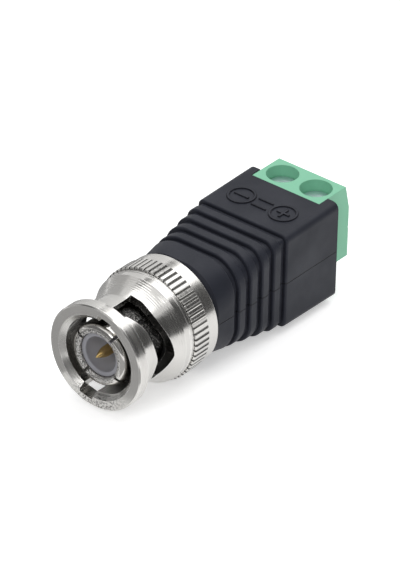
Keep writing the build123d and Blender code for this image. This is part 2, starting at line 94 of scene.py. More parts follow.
camera_data = bpy.data.cameras.new("camera")
camera_data.sensor_fit = "HORIZONTAL"
camera_data.sensor_width = SENSOR_WIDTH
camera_data.lens = LENS
camera_data.clip_end = FAR_CLIP
camera = bpy.data.objects.new("camera", camera_data)
bpy.context.scene.collection.objects.link(camera)
aim = Euler((math.pi / 2 - CAMERA_ELEVATION, 0, CAMERA_AZIMUTH)).to_matrix()
roll = Matrix.Rotation(CAMERA_ROLL, 3, "Z")
camera.matrix_world = Matrix.Translation(CAMERA_PLACE) @ (aim @ roll).to_4x4()
bpy.context.scene.camera = camera
print("camera at", tuple(round(v, 3) for v in CAMERA_PLACE), "lens", LENS)


# %% [markdown]
# Node trees are wordy to build by hand, so a few small helpers do it: one adds a node and sets its
# properties and inputs, one adds a Math node, one opens a new material, and two open and place a group.

# %% Node helpers
def add_node(tree, kind, settings=None, inputs=None):
    """Adds a node of this kind. An input's value may be a number, a colour or another node's socket."""
    node = tree.nodes.new(kind)
    for name, value in (settings or {}).items():
        setattr(node, name, value)
    for name, value in (inputs or {}).items():
        socket = node.inputs[name]
        if isinstance(value, bpy.types.NodeSocket):
            tree.links.new(value, socket)
        else:
            socket.default_value = value
    return node


def math_node(tree, operation, *values):
    """The result socket of a Math node on one, two or three numbers or sockets."""
    return add_node(tree, "ShaderNodeMath", {"operation": operation}, dict(enumerate(values))).outputs[0]


def new_material(name, colour, metallic, roughness):
    """A material with a Principled shader whose plain values are set directly on its sockets."""
    material = bpy.data.materials.new(name)
    material.use_nodes = True
    tree = material.node_tree
    shader = tree.nodes["Principled BSDF"]
    shader.inputs["Base Color"].default_value = (*colour, 1)
    shader.inputs["Metallic"].default_value = metallic
    shader.inputs["Roughness"].default_value = roughness
    return material, tree, shader


def new_group(name, inputs, outputs):
    """An empty shader node group with named sockets, and its input and output nodes."""
    group = bpy.data.node_groups.new(name, "ShaderNodeTree")
    for label, value in inputs:
        socket = group.interface.new_socket(label, in_out="INPUT", socket_type="NodeSocketFloat")
        socket.default_value = value
    for label, kind in outputs:
        group.interface.new_socket(label, in_out="OUTPUT", socket_type=kind)
    return group, group.nodes.new("NodeGroupInput"), group.nodes.new("NodeGroupOutput")


def use_group(tree, group, inputs=None):
    """Places a group in a material with its own values."""
    return add_node(tree, "ShaderNodeGroup", {"node_tree": group}, inputs)


print("helpers ready")

# %% [markdown]
# Almost everything on the plug was turned on a lathe, so its marks follow the axis. An image unwrapped
# onto each solid could carry them, but measures need no unwrapping. This group measures a point the way
# a turner would: how far from the axis, how far along it, at what angle round it, and how much its
# surface faces away from the axis, from 0 on a flat end to 1 on a barrel. Lengths are in millimetres,
# angles in radians, from +X up toward +Z.

# %% Place on the lathe
lathe_place, _, exit_node = new_group(
    "lathe_place",
    [],
    [
        ("Radius", "NodeSocketFloat"),
        ("Along", "NodeSocketFloat"),
        ("Angle", "NodeSocketFloat"),
        ("Outward", "NodeSocketFloat"),
    ],
)
coordinates = add_node(lathe_place, "ShaderNodeTexCoord")
in_mm = add_node(
    lathe_place,
    "ShaderNodeVectorMath",
    {"operation": "SCALE"},
    {0: coordinates.outputs["Object"], "Scale": 1 / MM},
)
parts = add_node(lathe_place, "ShaderNodeSeparateXYZ", inputs={0: in_mm.outputs[0]})
across = math_node(lathe_place, "MULTIPLY", parts.outputs["X"], parts.outputs["X"])
upward = math_node(lathe_place, "MULTIPLY", parts.outputs["Z"], parts.outputs["Z"])
radius = math_node(lathe_place, "SQRT", math_node(lathe_place, "ADD", across, upward))
angle = math_node(lathe_place, "ARCTAN2", parts.outputs["Z"], parts.outputs["X"])
from_axis = add_node(
    lathe_place, "ShaderNodeCombineXYZ", inputs={"X": parts.outputs["X"], "Z": parts.outputs["Z"]}
)
spoke = add_node(
    lathe_place, "ShaderNodeVectorMath", {"operation": "NORMALIZE"}, {0: from_axis.outputs[0]}
)
facing = add_node(
    lathe_place,
    "ShaderNodeVectorMath",
    {"operation": "DOT_PRODUCT"},
    {0: spoke.outputs[0], 1: coordinates.outputs["Normal"]},
)
outward = math_node(lathe_place, "ABSOLUTE", facing.outputs["Value"])
lathe_place.links.new(radius, exit_node.inputs["Radius"])
lathe_place.links.new(parts.outputs["Y"], exit_node.inputs["Along"])
lathe_place.links.new(angle, exit_node.inputs["Angle"])
lathe_place.links.new(outward, exit_node.inputs["Outward"])
print("group:", lathe_place.name)

# %% [markdown]
# Turned metal carries fine rings, left by the tool as the bar spun. On a barrel they differ along the
# axis, on a face they differ with the radius. A Wave texture would make them too even, so the group
# feeds both measures into one noise that barely changes with the angle. It puts out a height for the
# bump and a broader streak for the roughness.

# %% Turning marks
STREAK_SCALE = 0.22

turning_marks, entry, exit_node = new_group(
    "turning_marks",
    [("Rings Per Millimetre", 8.0), ("Wander", 0.6)],
    [("Height", "NodeSocketFloat"), ("Streak", "NodeSocketFloat")],
)
spot = use_group(turning_marks, lathe_place)
density = entry.outputs["Rings Per Millimetre"]
rings = add_node(
    turning_marks,
    "ShaderNodeCombineXYZ",
    inputs={
        "X": math_node(turning_marks, "MULTIPLY", spot.outputs["Radius"], density),
        "Y": math_node(turning_marks, "MULTIPLY", spot.outputs["Along"], density),
        "Z": math_node(turning_marks, "MULTIPLY", spot.outputs["Angle"], entry.outputs["Wander"]),
    },
)
fine = add_node(
    turning_marks, "ShaderNodeTexNoise", inputs={"Vector": rings.outputs[0], "Scale": 1.0, "Detail": 3.0}
)
coarse = add_node(
    turning_marks,
    "ShaderNodeTexNoise",
    inputs={"Vector": rings.outputs[0], "Scale": STREAK_SCALE, "Detail": 1.0},
)
turning_marks.links.new(fine.outputs["Fac"], exit_node.inputs["Height"])
turning_marks.links.new(coarse.outputs["Fac"], exit_node.inputs["Streak"])
print("group:", turning_marks.name)

# %% [markdown]
# Plated and moulded surfaces are never quite even. This group gives a soft cloudiness for tints and
# roughness, and a fine grain for bumps. Both come from noise in the object's own space, so they stay
# put when a piece moves. Their sizes are in millimetres.

# %% Clouds and grain
clouds_and_grain, entry, exit_node = new_group(
    "clouds_and_grain",
    [("Cloud Size", 3.0), ("Grain Size", 0.1)],
    [("Clouds", "NodeSocketFloat"), ("Grain", "NodeSocketFloat")],
)
place = add_node(clouds_and_grain, "ShaderNodeTexCoord").outputs["Object"]
cloud_scale = math_node(clouds_and_grain, "DIVIDE", 1 / MM, entry.outputs["Cloud Size"])
grain_scale = math_node(clouds_and_grain, "DIVIDE", 1 / MM, entry.outputs["Grain Size"])
clouds = add_node(
    clouds_and_grain, "ShaderNodeTexNoise", inputs={"Vector": place, "Scale": cloud_scale, "Detail": 2.0}
)
grain = add_node(
    clouds_and_grain,
    "ShaderNodeTexNoise",
    inputs={"Vector": place, "Scale": grain_scale, "Detail": 3.0, "Roughness": 0.6},
)
clouds_and_grain.links.new(clouds.outputs["Fac"], exit_node.inputs["Clouds"])
clouds_and_grain.links.new(grain.outputs["Fac"], exit_node.inputs["Grain"])
print("group:", clouds_and_grain.name)

# %% [markdown]
# No real edge is perfectly sharp. The solids could get a Bevel modifier, but a frame's meshes are left
# alone. The Bevel node bends the normal near an edge instead, so the edge catches a thin highlight
# without any added faces. The group puts that normal out, and a mask that is white along the edge,
# where the metals get a painted highlight and the housing a painted shade and a more matt surface.

# %% Soft edges
EDGE_GAIN = 6.0
BEVEL_SAMPLES = 6

soft_edges, entry, exit_node = new_group(
    "soft_edges",
    [("Radius", 0.05 * MM)],
    [("Normal", "NodeSocketVector"), ("Edge", "NodeSocketFloat")],
)
rounded = add_node(
    soft_edges, "ShaderNodeBevel", {"samples": BEVEL_SAMPLES}, {"Radius": entry.outputs["Radius"]}
)
true_normal = add_node(soft_edges, "ShaderNodeNewGeometry").outputs["Normal"]
alike = add_node(
    soft_edges,
    "ShaderNodeVectorMath",
    {"operation": "DOT_PRODUCT"},
    {0: rounded.outputs[0], 1: true_normal},
)
away = math_node(soft_edges, "SUBTRACT", 1.0, alike.outputs["Value"])
edge = math_node(soft_edges, "MINIMUM", math_node(soft_edges, "MULTIPLY", away, EDGE_GAIN), 1.0)
soft_edges.links.new(rounded.outputs[0], exit_node.inputs["Normal"])
soft_edges.links.new(edge, exit_node.inputs["Edge"])
print("group:", soft_edges.name)


# %% [markdown]
# Finishes are built up in layers: a mask says where a mark is, and the mark changes the colour or bends
# the normal there. These helpers mix two colours, move a value into another range, cut a mask out of a
# range, add a bump, and find what feeds the shader now, so that a further layer can go on top.

# %% Helpers for a finish
def mix_colour(tree, factor, first, second):
    """The colour between two colours, by a factor socket. A colour may be a socket."""
    first = first if isinstance(first, bpy.types.NodeSocket) else (*first, 1)
    second = second if isinstance(second, bpy.types.NodeSocket) else (*second, 1)
    node = add_node(tree, "ShaderNodeMix", {"data_type": "RGBA"}, {0: factor, 6: first, 7: second})
    return node.outputs[2]


def spread(tree, socket, from_low, from_high, low, high):
    """Moves a socket from one range into another, and stops at its ends."""
    inputs = {"From Min": from_low, "From Max": from_high, "To Min": low, "To Max": high}
    return add_node(tree, "ShaderNodeMapRange", inputs={"Value": socket, **inputs}).outputs[0]


def between(tree, socket, low, high, fade):
    """A mask that is white where a socket lies between two values, and fades toward both."""
    rise = spread(tree, socket, low, low + fade, 0, 1)
    fall = spread(tree, socket, high - fade, high, 1, 0)
    return math_node(tree, "MULTIPLY", rise, fall)


def add_bump(tree, height, distance, normal):
    """Bends a normal by a height socket, with a distance in metres."""
    inputs = {"Strength": 1.0, "Distance": distance, "Height": height, "Normal": normal}
    return add_node(tree, "ShaderNodeBump", inputs=inputs).outputs[0]


def fed_by(shader, name):
    """The socket that feeds an input of the shader now."""
    return shader.inputs[name].links[0].from_socket


print("finish helpers ready")


# %% [markdown]
# Every finish follows one of two recipes. Both mix a colour between two close tints, vary the roughness
# a little and bump the surface on top of the softened edges. Turned metal also stretches its highlights
# across the ring marks, which the shader's anisotropy does with a tangent that runs round the axis.
# Every finish could have its own tree, but shared recipes keep them alike and short to write.

# %% Recipes
NOISE_LOW, NOISE_HIGH = 0.3, 0.7
EDGE_HIGHLIGHT_SHARE = 0.85
EDGE_HIGHLIGHT_GAIN = 1.45
QUARTER_TURN = 0.25


def turned_metal(name, bright, dull, roughness, rings, bump, edge_radius, stretch=0.6):
    """Plated metal off the lathe, with its rings per millimetre, and a highlight painted along its
    edges.
    """
    material, tree, shader = new_material(name, bright, 1.0, roughness[0])
    marks = use_group(tree, turning_marks, {"Rings Per Millimetre": rings})
    surface = use_group(tree, clouds_and_grain, {"Cloud Size": 2.5, "Grain Size": 0.15})
    edges = use_group(tree, soft_edges, {"Radius": edge_radius})
    tint = mix_colour(tree, surface.outputs["Clouds"], bright, dull)
    # Painted highlight: the edge mask mixes the colour toward a brighter tint along the edges.
    edge_highlight = math_node(tree, "MULTIPLY", edges.outputs["Edge"], EDGE_HIGHLIGHT_SHARE)
    tint = mix_colour(tree, edge_highlight, tint, tuple(min(1, EDGE_HIGHLIGHT_GAIN * value) for value in bright))
    tree.links.new(tint, shader.inputs["Base Color"])
    streaks = spread(tree, marks.outputs["Streak"], NOISE_LOW, NOISE_HIGH, *roughness)
    tree.links.new(streaks, shader.inputs["Roughness"])
    normal = add_bump(tree, marks.outputs["Height"], bump, edges.outputs["Normal"])
    tree.links.new(normal, shader.inputs["Normal"])
    tangent = add_node(tree, "ShaderNodeTangent", {"direction_type": "RADIAL", "axis": "Y"})
    tree.links.new(tangent.outputs[0], shader.inputs["Tangent"])
    shader.inputs["Anisotropic"].default_value = stretch
    shader.inputs["Anisotropic Rotation"].default_value = QUARTER_TURN
    return material, tree, shader


def moulded_plastic(name, light, dark, roughness, grain_size, bump, edge_radius, gloss):
    """Moulded plastic: a fine even grain with its size in millimetres, faint clouds, softened edges."""
    material, tree, shader = new_material(name, light, 0.0, roughness[0])
    shader.inputs["Specular IOR Level"].default_value = gloss
    surface = use_group(tree, clouds_and_grain, {"Cloud Size": 4.0, "Grain Size": grain_size})
    edges = use_group(tree, soft_edges, {"Radius": edge_radius})
    tint = mix_colour(tree, surface.outputs["Clouds"], light, dark)
    tree.links.new(tint, shader.inputs["Base Color"])
    clouded = spread(tree, surface.outputs["Clouds"], NOISE_LOW, NOISE_HIGH, *roughness)
    tree.links.new(clouded, shader.inputs["Roughness"])
    normal = add_bump(tree, surface.outputs["Grain"], bump, edges.outputs["Normal"])
    tree.links.new(normal, shader.inputs["Normal"])
    return material, tree, shader


print("recipes ready")

# %% [markdown]
# The coupling nut is nickel over turned brass, bright but not polished. It starts from the recipe, and
# the next cells lay its own marks on top, one after another: rings, chatter, torn metal, knurl grooves,
# painted shade on the window walls and painted highlights on the edges. They could be painted into an
# image, but masks on the lathe's measures follow the nut exactly and go round with it.

# %% Nickel of the coupling nut
nickel, tree, shader = turned_metal(
    "nickel",
    bright=(0.62, 0.61, 0.59),
    dull=(0.52, 0.51, 0.49),
    roughness=(0.19, 0.28),
    rings=7.0,
    bump=0.0015 * MM,
    edge_radius=0.06 * MM,
    stretch=0.5,
)
spot = use_group(tree, lathe_place)
along, radius, angle = (spot.outputs[name] for name in ("Along", "Radius", "Angle"))
surface = use_group(tree, clouds_and_grain, {"Cloud Size": 1.2, "Grain Size": 0.25})
colour, normal = fed_by(shader, "Base Color"), fed_by(shader, "Normal")
print("finish begun:", nickel.name)

# %% [markdown]
# Round the shoulder the turning tool left a few deeper rings, evenly spaced by its feed. They could be
# cut into the solid, but they are far finer than its other forms. A sine along the axis gives the even
# spacing, and the clouds let the rings come and go.

# %% Rings round the shoulder
SHOULDER_START, SHOULDER_END, SHOULDER_FADE = 6.3, 8.3, 0.4
RING_PITCH = 0.26
RING_DEPTH = 0.008 * MM
CLOUD_CLEAR, CLOUD_FULL = 0.4, 0.6

wave = math_node(tree, "SINE", math_node(tree, "MULTIPLY", along, 2 * math.pi / RING_PITCH))
on_shoulder = between(tree, along, SHOULDER_START, SHOULDER_END, SHOULDER_FADE)
patches = spread(tree, surface.outputs["Clouds"], CLOUD_CLEAR, CLOUD_FULL, 0, 1)
faded = math_node(tree, "MULTIPLY", on_shoulder, patches)
normal = add_bump(tree, math_node(tree, "MULTIPLY", wave, faded), RING_DEPTH, normal)
print("rings every", RING_PITCH, "mm")

# %% [markdown]
# Low in the mouth the boring tool chattered and left short lines across the bore, evenly spaced round
# it. They are a sine of the angle, as a bump and as darker lines of painted shade, because at this size
# a bump alone hardly shows its shade in metal this bright.

# %% Chatter in the mouth
BORE_RADIUS = 5.0
BORE_START, BORE_FADE = 0.6, 0.3
CHATTER_COUNT = 96
CHATTER_DEPTH = 0.04 * MM
CHATTER_FROM, CHATTER_TO, CHATTER_FADE = -1.8, -0.5, 0.3
LINE_EDGE, LINE_FULL = 0.2, 0.8
CHATTER_SHADE_COLOUR = (0.22, 0.215, 0.205)

chatter = math_node(tree, "SINE", math_node(tree, "MULTIPLY", angle, CHATTER_COUNT))
in_bore = math_node(
    tree,
    "MULTIPLY",
    math_node(tree, "LESS_THAN", radius, BORE_RADIUS),
    spread(tree, along, BORE_START, BORE_START + BORE_FADE, 0, 1),
)
low_side = between(tree, angle, CHATTER_FROM, CHATTER_TO, CHATTER_FADE)
low_in_bore = math_node(tree, "MULTIPLY", in_bore, low_side)
normal = add_bump(tree, math_node(tree, "MULTIPLY", chatter, low_in_bore), CHATTER_DEPTH, normal)
# Painted shade: darker lines along the chatter, where its grooves would be shaded.
lines = spread(tree, chatter, LINE_EDGE, LINE_FULL, 0, 1)
chatter_shade = math_node(tree, "MULTIPLY", low_in_bore, lines)
colour = mix_colour(tree, chatter_shade, colour, CHATTER_SHADE_COLOUR)
print("chatter lines round the bore:", CHATTER_COUNT)

# %% [markdown]
# On the lower part of the front face the parting tool tore the metal a little, which glitters. It could
# be sculpted, but it is hardly deeper than a scratch. So the grain bends the normal strongly there, and
# its high spots are tinted dark as a painted shade in the small pits.

# %% Torn metal on the front face
FACE_DEPTH = 0.5
TORN_FROM, TORN_TO, TORN_FADE = -2.4, -0.6, 0.6
TORN_DEPTH = 0.03 * MM
PIT_EDGE, PIT_FULL = 0.48, 0.58
PIT_SHADE_COLOUR = (0.16, 0.155, 0.15)

on_face = math_node(tree, "LESS_THAN", along, FACE_DEPTH)
torn = math_node(tree, "MULTIPLY", on_face, between(tree, angle, TORN_FROM, TORN_TO, TORN_FADE))
normal = add_bump(tree, math_node(tree, "MULTIPLY", surface.outputs["Grain"], torn), TORN_DEPTH, normal)
# Painted shade: the grain's high spots are tinted dark where the pits would be shaded.
pits = spread(tree, surface.outputs["Grain"], PIT_EDGE, PIT_FULL, 0, 1)
colour = mix_colour(tree, math_node(tree, "MULTIPLY", torn, pits), colour, PIT_SHADE_COLOUR)
print("torn metal on the first", FACE_DEPTH, "mm")

# %% [markdown]
# The knurl is a grip of straight ridges with open grooves between them. In the solid the grooves are
# cut narrower at the top than in the photograph. The material shows them as wide as they look there: the
# angle is folded into one ridge after another, and the groove's part is dipped and gets a painted shade.

# %% Grooves of the knurl
BAND_LENGTH = 1.82
KNURL_LENGTH = 2.57
KNURL_COUNT = 60
KNURL_FADE = 0.06
KNURL_INNER_RADIUS = 6.5
GROOVE_FULL, GROOVE_EDGE = 0.12, 0.26
GROOVE_DEPTH = 0.1 * MM
GROOVE_SHADE_COLOUR = (0.13, 0.127, 0.12)

nut_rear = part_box("coupling_nut")[1][1] / MM
knurl_end = nut_rear - BAND_LENGTH
knurl_start = knurl_end - KNURL_LENGTH
on_knurl = math_node(
    tree,
    "MULTIPLY",
    between(tree, along, knurl_start, knurl_end, KNURL_FADE),
    math_node(tree, "GREATER_THAN", radius, KNURL_INNER_RADIUS),
)
turn = math_node(tree, "MULTIPLY", angle, KNURL_COUNT / (2 * math.pi))
ridge = math_node(tree, "PINGPONG", turn, 0.5)
groove = math_node(tree, "MULTIPLY", on_knurl, spread(tree, ridge, GROOVE_FULL, GROOVE_EDGE, 1, 0))
normal = add_bump(tree, math_node(tree, "SUBTRACT", 1.0, groove), GROOVE_DEPTH, normal)
# Painted shade: the grooves are tinted dark, as shade in them.
colour = mix_colour(tree, groove, colour, GROOVE_SHADE_COLOUR)
print("knurl from", round(knurl_start, 2), "to", round(knurl_end, 2), "mm, grooves:", KNURL_COUNT)

# %% [markdown]
# The walls of the two windows were milled, not turned, and look dark in the photograph, as they lie in
# shade; they get a painted shade. They are the surfaces in the windows' stretch of the nut that don't
# face away from the axis. Everywhere but on the knurl the edges get a painted highlight from a wider
# edge mask.

# %% Painted shade on the window walls, painted highlights on the edges
WINDOW_START, WINDOW_END, WINDOW_FADE = 1.75, 8.6, 0.05
WALL_OUTWARD, BARREL_OUTWARD = 0.1, 0.2
WALL_SHADE_COLOUR = (0.09, 0.088, 0.085)
EDGE_GLINT_RADIUS = 0.13 * MM
EDGE_GLINT_COLOUR = (0.93, 0.92, 0.90)

in_window = math_node(
    tree,
    "MULTIPLY",
    between(tree, along, WINDOW_START, WINDOW_END, WINDOW_FADE),
    spread(tree, spot.outputs["Outward"], WALL_OUTWARD, BARREL_OUTWARD, 1, 0),
)
# Painted shade: the window walls are tinted dark.
colour = mix_colour(tree, in_window, colour, WALL_SHADE_COLOUR)
# Painted highlight: a wider edge mask mixes the edges toward a near white tint.
edge_glint = use_group(tree, soft_edges, {"Radius": EDGE_GLINT_RADIUS}).outputs["Edge"]
edge_glint = math_node(tree, "MULTIPLY", edge_glint, math_node(tree, "SUBTRACT", 1.0, on_knurl))
colour = mix_colour(tree, edge_glint, colour, EDGE_GLINT_COLOUR)
tree.links.new(colour, shader.inputs["Base Color"])
tree.links.new(normal, shader.inputs["Normal"])
print("finish:", nickel.name)

# %% [markdown]
# The outer contact and the plug's body are plated the same way. The contact's nose is polished by every
# socket it has met, with a rough ring next to the insulator whose pits get a painted shade. Further back
# its barrel lies in shade inside the nut: it gets a near black painted shade full of tiny sparkles.
# Displaced geometry could sparkle too, but a speckled colour with a deep bump looks the same at this
# size and adds no faces.

# %% Nickel of the outer contact
INNER_RING_RADIUS, INNER_RING_FADE = 3.3, 0.2
BARREL_START, BARREL_FULL = 1.8, 4.2
ROUGH_DEPTH = 0.14 * MM
SPARK_EDGE, SPARK_FULL = 0.50, 0.58
BARREL_SHADE, BARREL_SPARK = (0.045, 0.044, 0.043), (0.72, 0.71, 0.69)
RING_BRIGHT, RING_PIT_SHADE = (0.70, 0.69, 0.67), (0.20, 0.195, 0.19)

contact_nickel, tree, shader = turned_metal(
    "contact_nickel",
    bright=(0.68, 0.665, 0.64),
    dull=(0.58, 0.565, 0.54),
    roughness=(0.10, 0.20),
    rings=6.0,
    bump=0.0015 * MM,
    edge_radius=0.06 * MM,
    stretch=0.3,
)
spot = use_group(tree, lathe_place)
grain = use_group(tree, clouds_and_grain, {"Cloud Size": 0.8, "Grain Size": 0.17}).outputs["Grain"]
inner_ring = spread(
    tree, spot.outputs["Radius"], INNER_RING_RADIUS, INNER_RING_RADIUS + INNER_RING_FADE, 1, 0
)
barrel = spread(tree, spot.outputs["Along"], BARREL_START, BARREL_FULL, 0, 1)
rough_zone = math_node(tree, "MAXIMUM", inner_ring, barrel)
rough_grain = math_node(tree, "MULTIPLY", grain, rough_zone)
tree.links.new(
    add_bump(tree, rough_grain, ROUGH_DEPTH, fed_by(shader, "Normal")), shader.inputs["Normal"]
)
specks = spread(tree, grain, SPARK_EDGE, SPARK_FULL, 0, 1)
# Painted shade: the barrel is near black between the specks.
sparkle = mix_colour(tree, specks, BARREL_SHADE, BARREL_SPARK)
colour = mix_colour(tree, barrel, fed_by(shader, "Base Color"), sparkle)
# Painted shade: dark specks on the rough ring stand for its shaded pits.
colour = mix_colour(tree, inner_ring, colour, mix_colour(tree, specks, RING_BRIGHT, RING_PIT_SHADE))
tree.links.new(colour, shader.inputs["Base Color"])
print("finish:", contact_nickel.name)

# %% [markdown]
# The centre pin is gold plated, brighter at the tip and darker toward its foot, which stands down in the
# cup's shade. One even tint would look flat, so a mask along the axis darkens the foot with a painted
# shade.

# %% Gold of the centre pin
FOOT_START, FOOT_FULL = 1.8, 3.2
FOOT_SHADE_COLOUR = (0.36, 0.25, 0.10)

gold, tree, shader = turned_metal(
    "gold",
    bright=(0.83, 0.60, 0.26),
    dull=(0.68, 0.46, 0.17),
    roughness=(0.14, 0.24),
    rings=10.0,
    bump=0.004 * MM,
    edge_radius=0.03 * MM,
)
foot = spread(tree, use_group(tree, lathe_place).outputs["Along"], FOOT_START, FOOT_FULL, 0, 1)
# Painted shade: the foot is tinted darker toward the cup.
colour = mix_colour(tree, foot, fed_by(shader, "Base Color"), FOOT_SHADE_COLOUR)
tree.links.new(colour, shader.inputs["Base Color"])
print("finish:", gold.name)

# %% [markdown]
# The other metals are spring steel for the washers and the snap ring, zinc on the slotted screws, bare
# brass for the cages and current bars, and tinned copper for the links. They differ only in tint,
# roughness and marks, so the recipe alone makes them. The screws and the links weren't turned round the
# plug's axis, so their highlights aren't stretched round it.

# %% Other metals
spring_steel = turned_metal(
    "spring_steel",
    bright=(0.50, 0.50, 0.51),
    dull=(0.40, 0.40, 0.41),
    roughness=(0.25, 0.40),
    rings=6.0,
    bump=0.003 * MM,
    edge_radius=0.03 * MM,
)[0]
zinc = turned_metal(
    "zinc_screw",
    bright=(0.68, 0.73, 0.78),
    dull=(0.58, 0.63, 0.68),
    roughness=(0.30, 0.45),
    rings=5.0,
    bump=0.005 * MM,
    edge_radius=0.06 * MM,
    stretch=0.0,
)[0]
bare_brass = turned_metal(
    "brass_bare",
    bright=(0.74, 0.62, 0.38),
    dull=(0.62, 0.50, 0.30),
    roughness=(0.25, 0.40),
    rings=3.0,
    bump=0.004 * MM,
    edge_radius=0.04 * MM,
)[0]
tinned_copper = turned_metal(
    "tinned_copper",
    bright=(0.70, 0.66, 0.62),
    dull=(0.58, 0.52, 0.46),
    roughness=(0.25, 0.40),
    rings=3.0,
    bump=0.003 * MM,
    edge_radius=0.03 * MM,
    stretch=0.0,
)[0]
print("finishes:", spring_steel.name, zinc.name, bare_brass.name, tinned_copper.name)

# %% [markdown]
# The housing is black plastic with a bluish cast and a fine spark-eroded grain. Its two halves meet at
# mid height in a seam. The joint is in the solids, but it is too tight to show from where the camera
# stands, so a narrow band round that height gets a darker tint and a small dip. The edges of the housing
# and of its plus and minus marks are more matt, and get a painted shade that stands for their dark
# reflections.

# %% Black of the housing
SEAM_HALF_WIDTH = 0.06 * MM
SEAM_CORE_SHARE = 0.3
SEAM_DEPTH = 0.04 * MM
SEAM_COLOUR = (0.004, 0.004, 0.005)
CORNER_RADIUS = 0.15 * MM
CORNER_ROUGHER = 0.3
CORNER_SHADE_COLOUR = (0.003, 0.003, 0.005)

housing_black, tree, shader = moulded_plastic(
    "housing_black",
    light=(0.027, 0.029, 0.041),
    dark=(0.012, 0.014, 0.021),
    roughness=(0.44, 0.54),
    grain_size=0.07,
    bump=0.006 * MM,
    edge_radius=0.12 * MM,
    gloss=0.20,
)
place = add_node(tree, "ShaderNodeTexCoord").outputs["Object"]
height = add_node(tree, "ShaderNodeSeparateXYZ", inputs={0: place}).outputs["Z"]
from_seam = math_node(tree, "ABSOLUTE", height)
seam = spread(tree, from_seam, SEAM_CORE_SHARE * SEAM_HALF_WIDTH, SEAM_HALF_WIDTH, 1, 0)
corners = use_group(tree, soft_edges, {"Radius": CORNER_RADIUS}).outputs["Edge"]
colour = mix_colour(tree, seam, fed_by(shader, "Base Color"), SEAM_COLOUR)
# Painted shade: the edge mask darkens the edges toward near black.
colour = mix_colour(tree, corners, colour, CORNER_SHADE_COLOUR)
tree.links.new(colour, shader.inputs["Base Color"])
rougher = math_node(tree, "MULTIPLY", corners, CORNER_ROUGHER)
tree.links.new(
    math_node(tree, "ADD", fed_by(shader, "Roughness"), rougher), shader.inputs["Roughness"]
)
level = math_node(tree, "SUBTRACT", 1.0, seam)
tree.links.new(add_bump(tree, level, SEAM_DEPTH, fed_by(shader, "Normal")), shader.inputs["Normal"])
print("finish:", housing_black.name)

# %% [markdown]
# The terminal block is moulded in a soft mint green, and the gasket is black rubber. Rubber could have a
# sheen of its own, but so little of it shows that the plastic's recipe serves, with a rougher surface.

# %% Green and rubber
terminal_green = moulded_plastic(
    "terminal_green",
    light=(0.245, 0.60, 0.40),
    dark=(0.225, 0.565, 0.375),
    roughness=(0.40, 0.48),
    grain_size=0.12,
    bump=0.003 * MM,
    edge_radius=0.10 * MM,
    gloss=0.35,
)[0]
gasket_rubber = moulded_plastic(
    "gasket_rubber",
    light=(0.020, 0.020, 0.020),
    dark=(0.012, 0.012, 0.012),
    roughness=(0.55, 0.70),
    grain_size=0.08,
    bump=0.006 * MM,
    edge_radius=0.08 * MM,
    gloss=0.3,
)[0]
print("finishes:", terminal_green.name, gasket_rubber.name)

# %% [markdown]
# The insulator is a grey cup with a lilac cast. Light seeps into such plastic, so the bottom of the cup
# isn't as dark as its shade would make it. Subsurface scattering could do that, but a colour that grows
# paler with the depth is simpler and looks the same in so small a piece.

# %% Grey of the insulator
CUP_START, CUP_FLOOR = 1.2 * MM, 4.0 * MM
CUP_COLOUR = (0.60, 0.60, 0.63)

grey_dielectric, tree, shader = moulded_plastic(
    "grey_dielectric",
    light=(0.31, 0.31, 0.34),
    dark=(0.27, 0.27, 0.295),
    roughness=(0.34, 0.44),
    grain_size=0.10,
    bump=0.002 * MM,
    edge_radius=0.05 * MM,
    gloss=0.4,
)
place = add_node(tree, "ShaderNodeTexCoord").outputs["Object"]
depth = add_node(tree, "ShaderNodeSeparateXYZ", inputs={0: place}).outputs["Y"]
inside = spread(tree, depth, CUP_START, CUP_FLOOR, 0, 1)
colour = mix_colour(tree, inside, fed_by(shader, "Base Color"), CUP_COLOUR)
tree.links.new(colour, shader.inputs["Base Color"])
print("finish:", grey_dielectric.name)

# %% [markdown]
# The construction's record names a finish for every solid. Each mesh could be given its material by
# hand, but a table from those names to the materials can't miss one.

# %% Give each solid its finish
finishes = {
    "nickel": nickel,
    "contact_nickel": contact_nickel,
    "gold": gold,
    "spring_steel": spring_steel,
    "zinc_screw": zinc,
    "brass_bare": bare_brass,
    "tinned_copper": tinned_copper,
    "housing_black": housing_black,
    "terminal_green": terminal_green,
    "grey_dielectric": grey_dielectric,
    "gasket_rubber": gasket_rubber,
}
for subpart in frame["record"]["subparts"]:
    solid = nodes[subpart["node"]]
    solid.data.materials.clear()
    solid.data.materials.append(finishes[subpart["material_slot"]])

# %% [markdown]
# When the coupling nut is pushed forward, the spring washer inside it is pressed flat. A solid from the
# frame can't bend, so a copy of its mesh stands for it, hung on the adapter's body, and the solid itself
# is hidden. The frame's meshes are loose triangles, so the copy's corners are welded first.

# %% Spring washer copy
WELD_DISTANCE = 0.0001 * MM

spring_mesh = nodes["spring_washer"].data.copy()
welded = bmesh.new()
welded.from_mesh(spring_mesh)
bmesh.ops.remove_doubles(welded, verts=welded.verts, dist=WELD_DISTANCE)
welded.to_mesh(spring_mesh)
welded.free()
flexing_spring = bpy.data.objects.new("flexing_spring_washer", spring_mesh)
bpy.context.scene.collection.objects.link(flexing_spring)
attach(flexing_spring, "adapter")
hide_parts("spring_washer")
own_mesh(flexing_spring)


# %% [markdown]
# The studio's floor lies under the knurl and the housing's rear edge. It is plain white and takes the
# adapter's shadow. More lamps could make it as white as the surround, but they would bleach the object.
# So it glows a little, only for the camera and for reflections, which a Light Path node tells apart from
# the light that falls on the object.

# %% Floor
FLOOR_SIZE = 3.0
FLOOR_COLOUR = (0.93, 0.93, 0.93)
FLOOR_ROUGHNESS = 0.7
FLOOR_GLOSS = 0.1
FLOOR_GLOW = 0.42


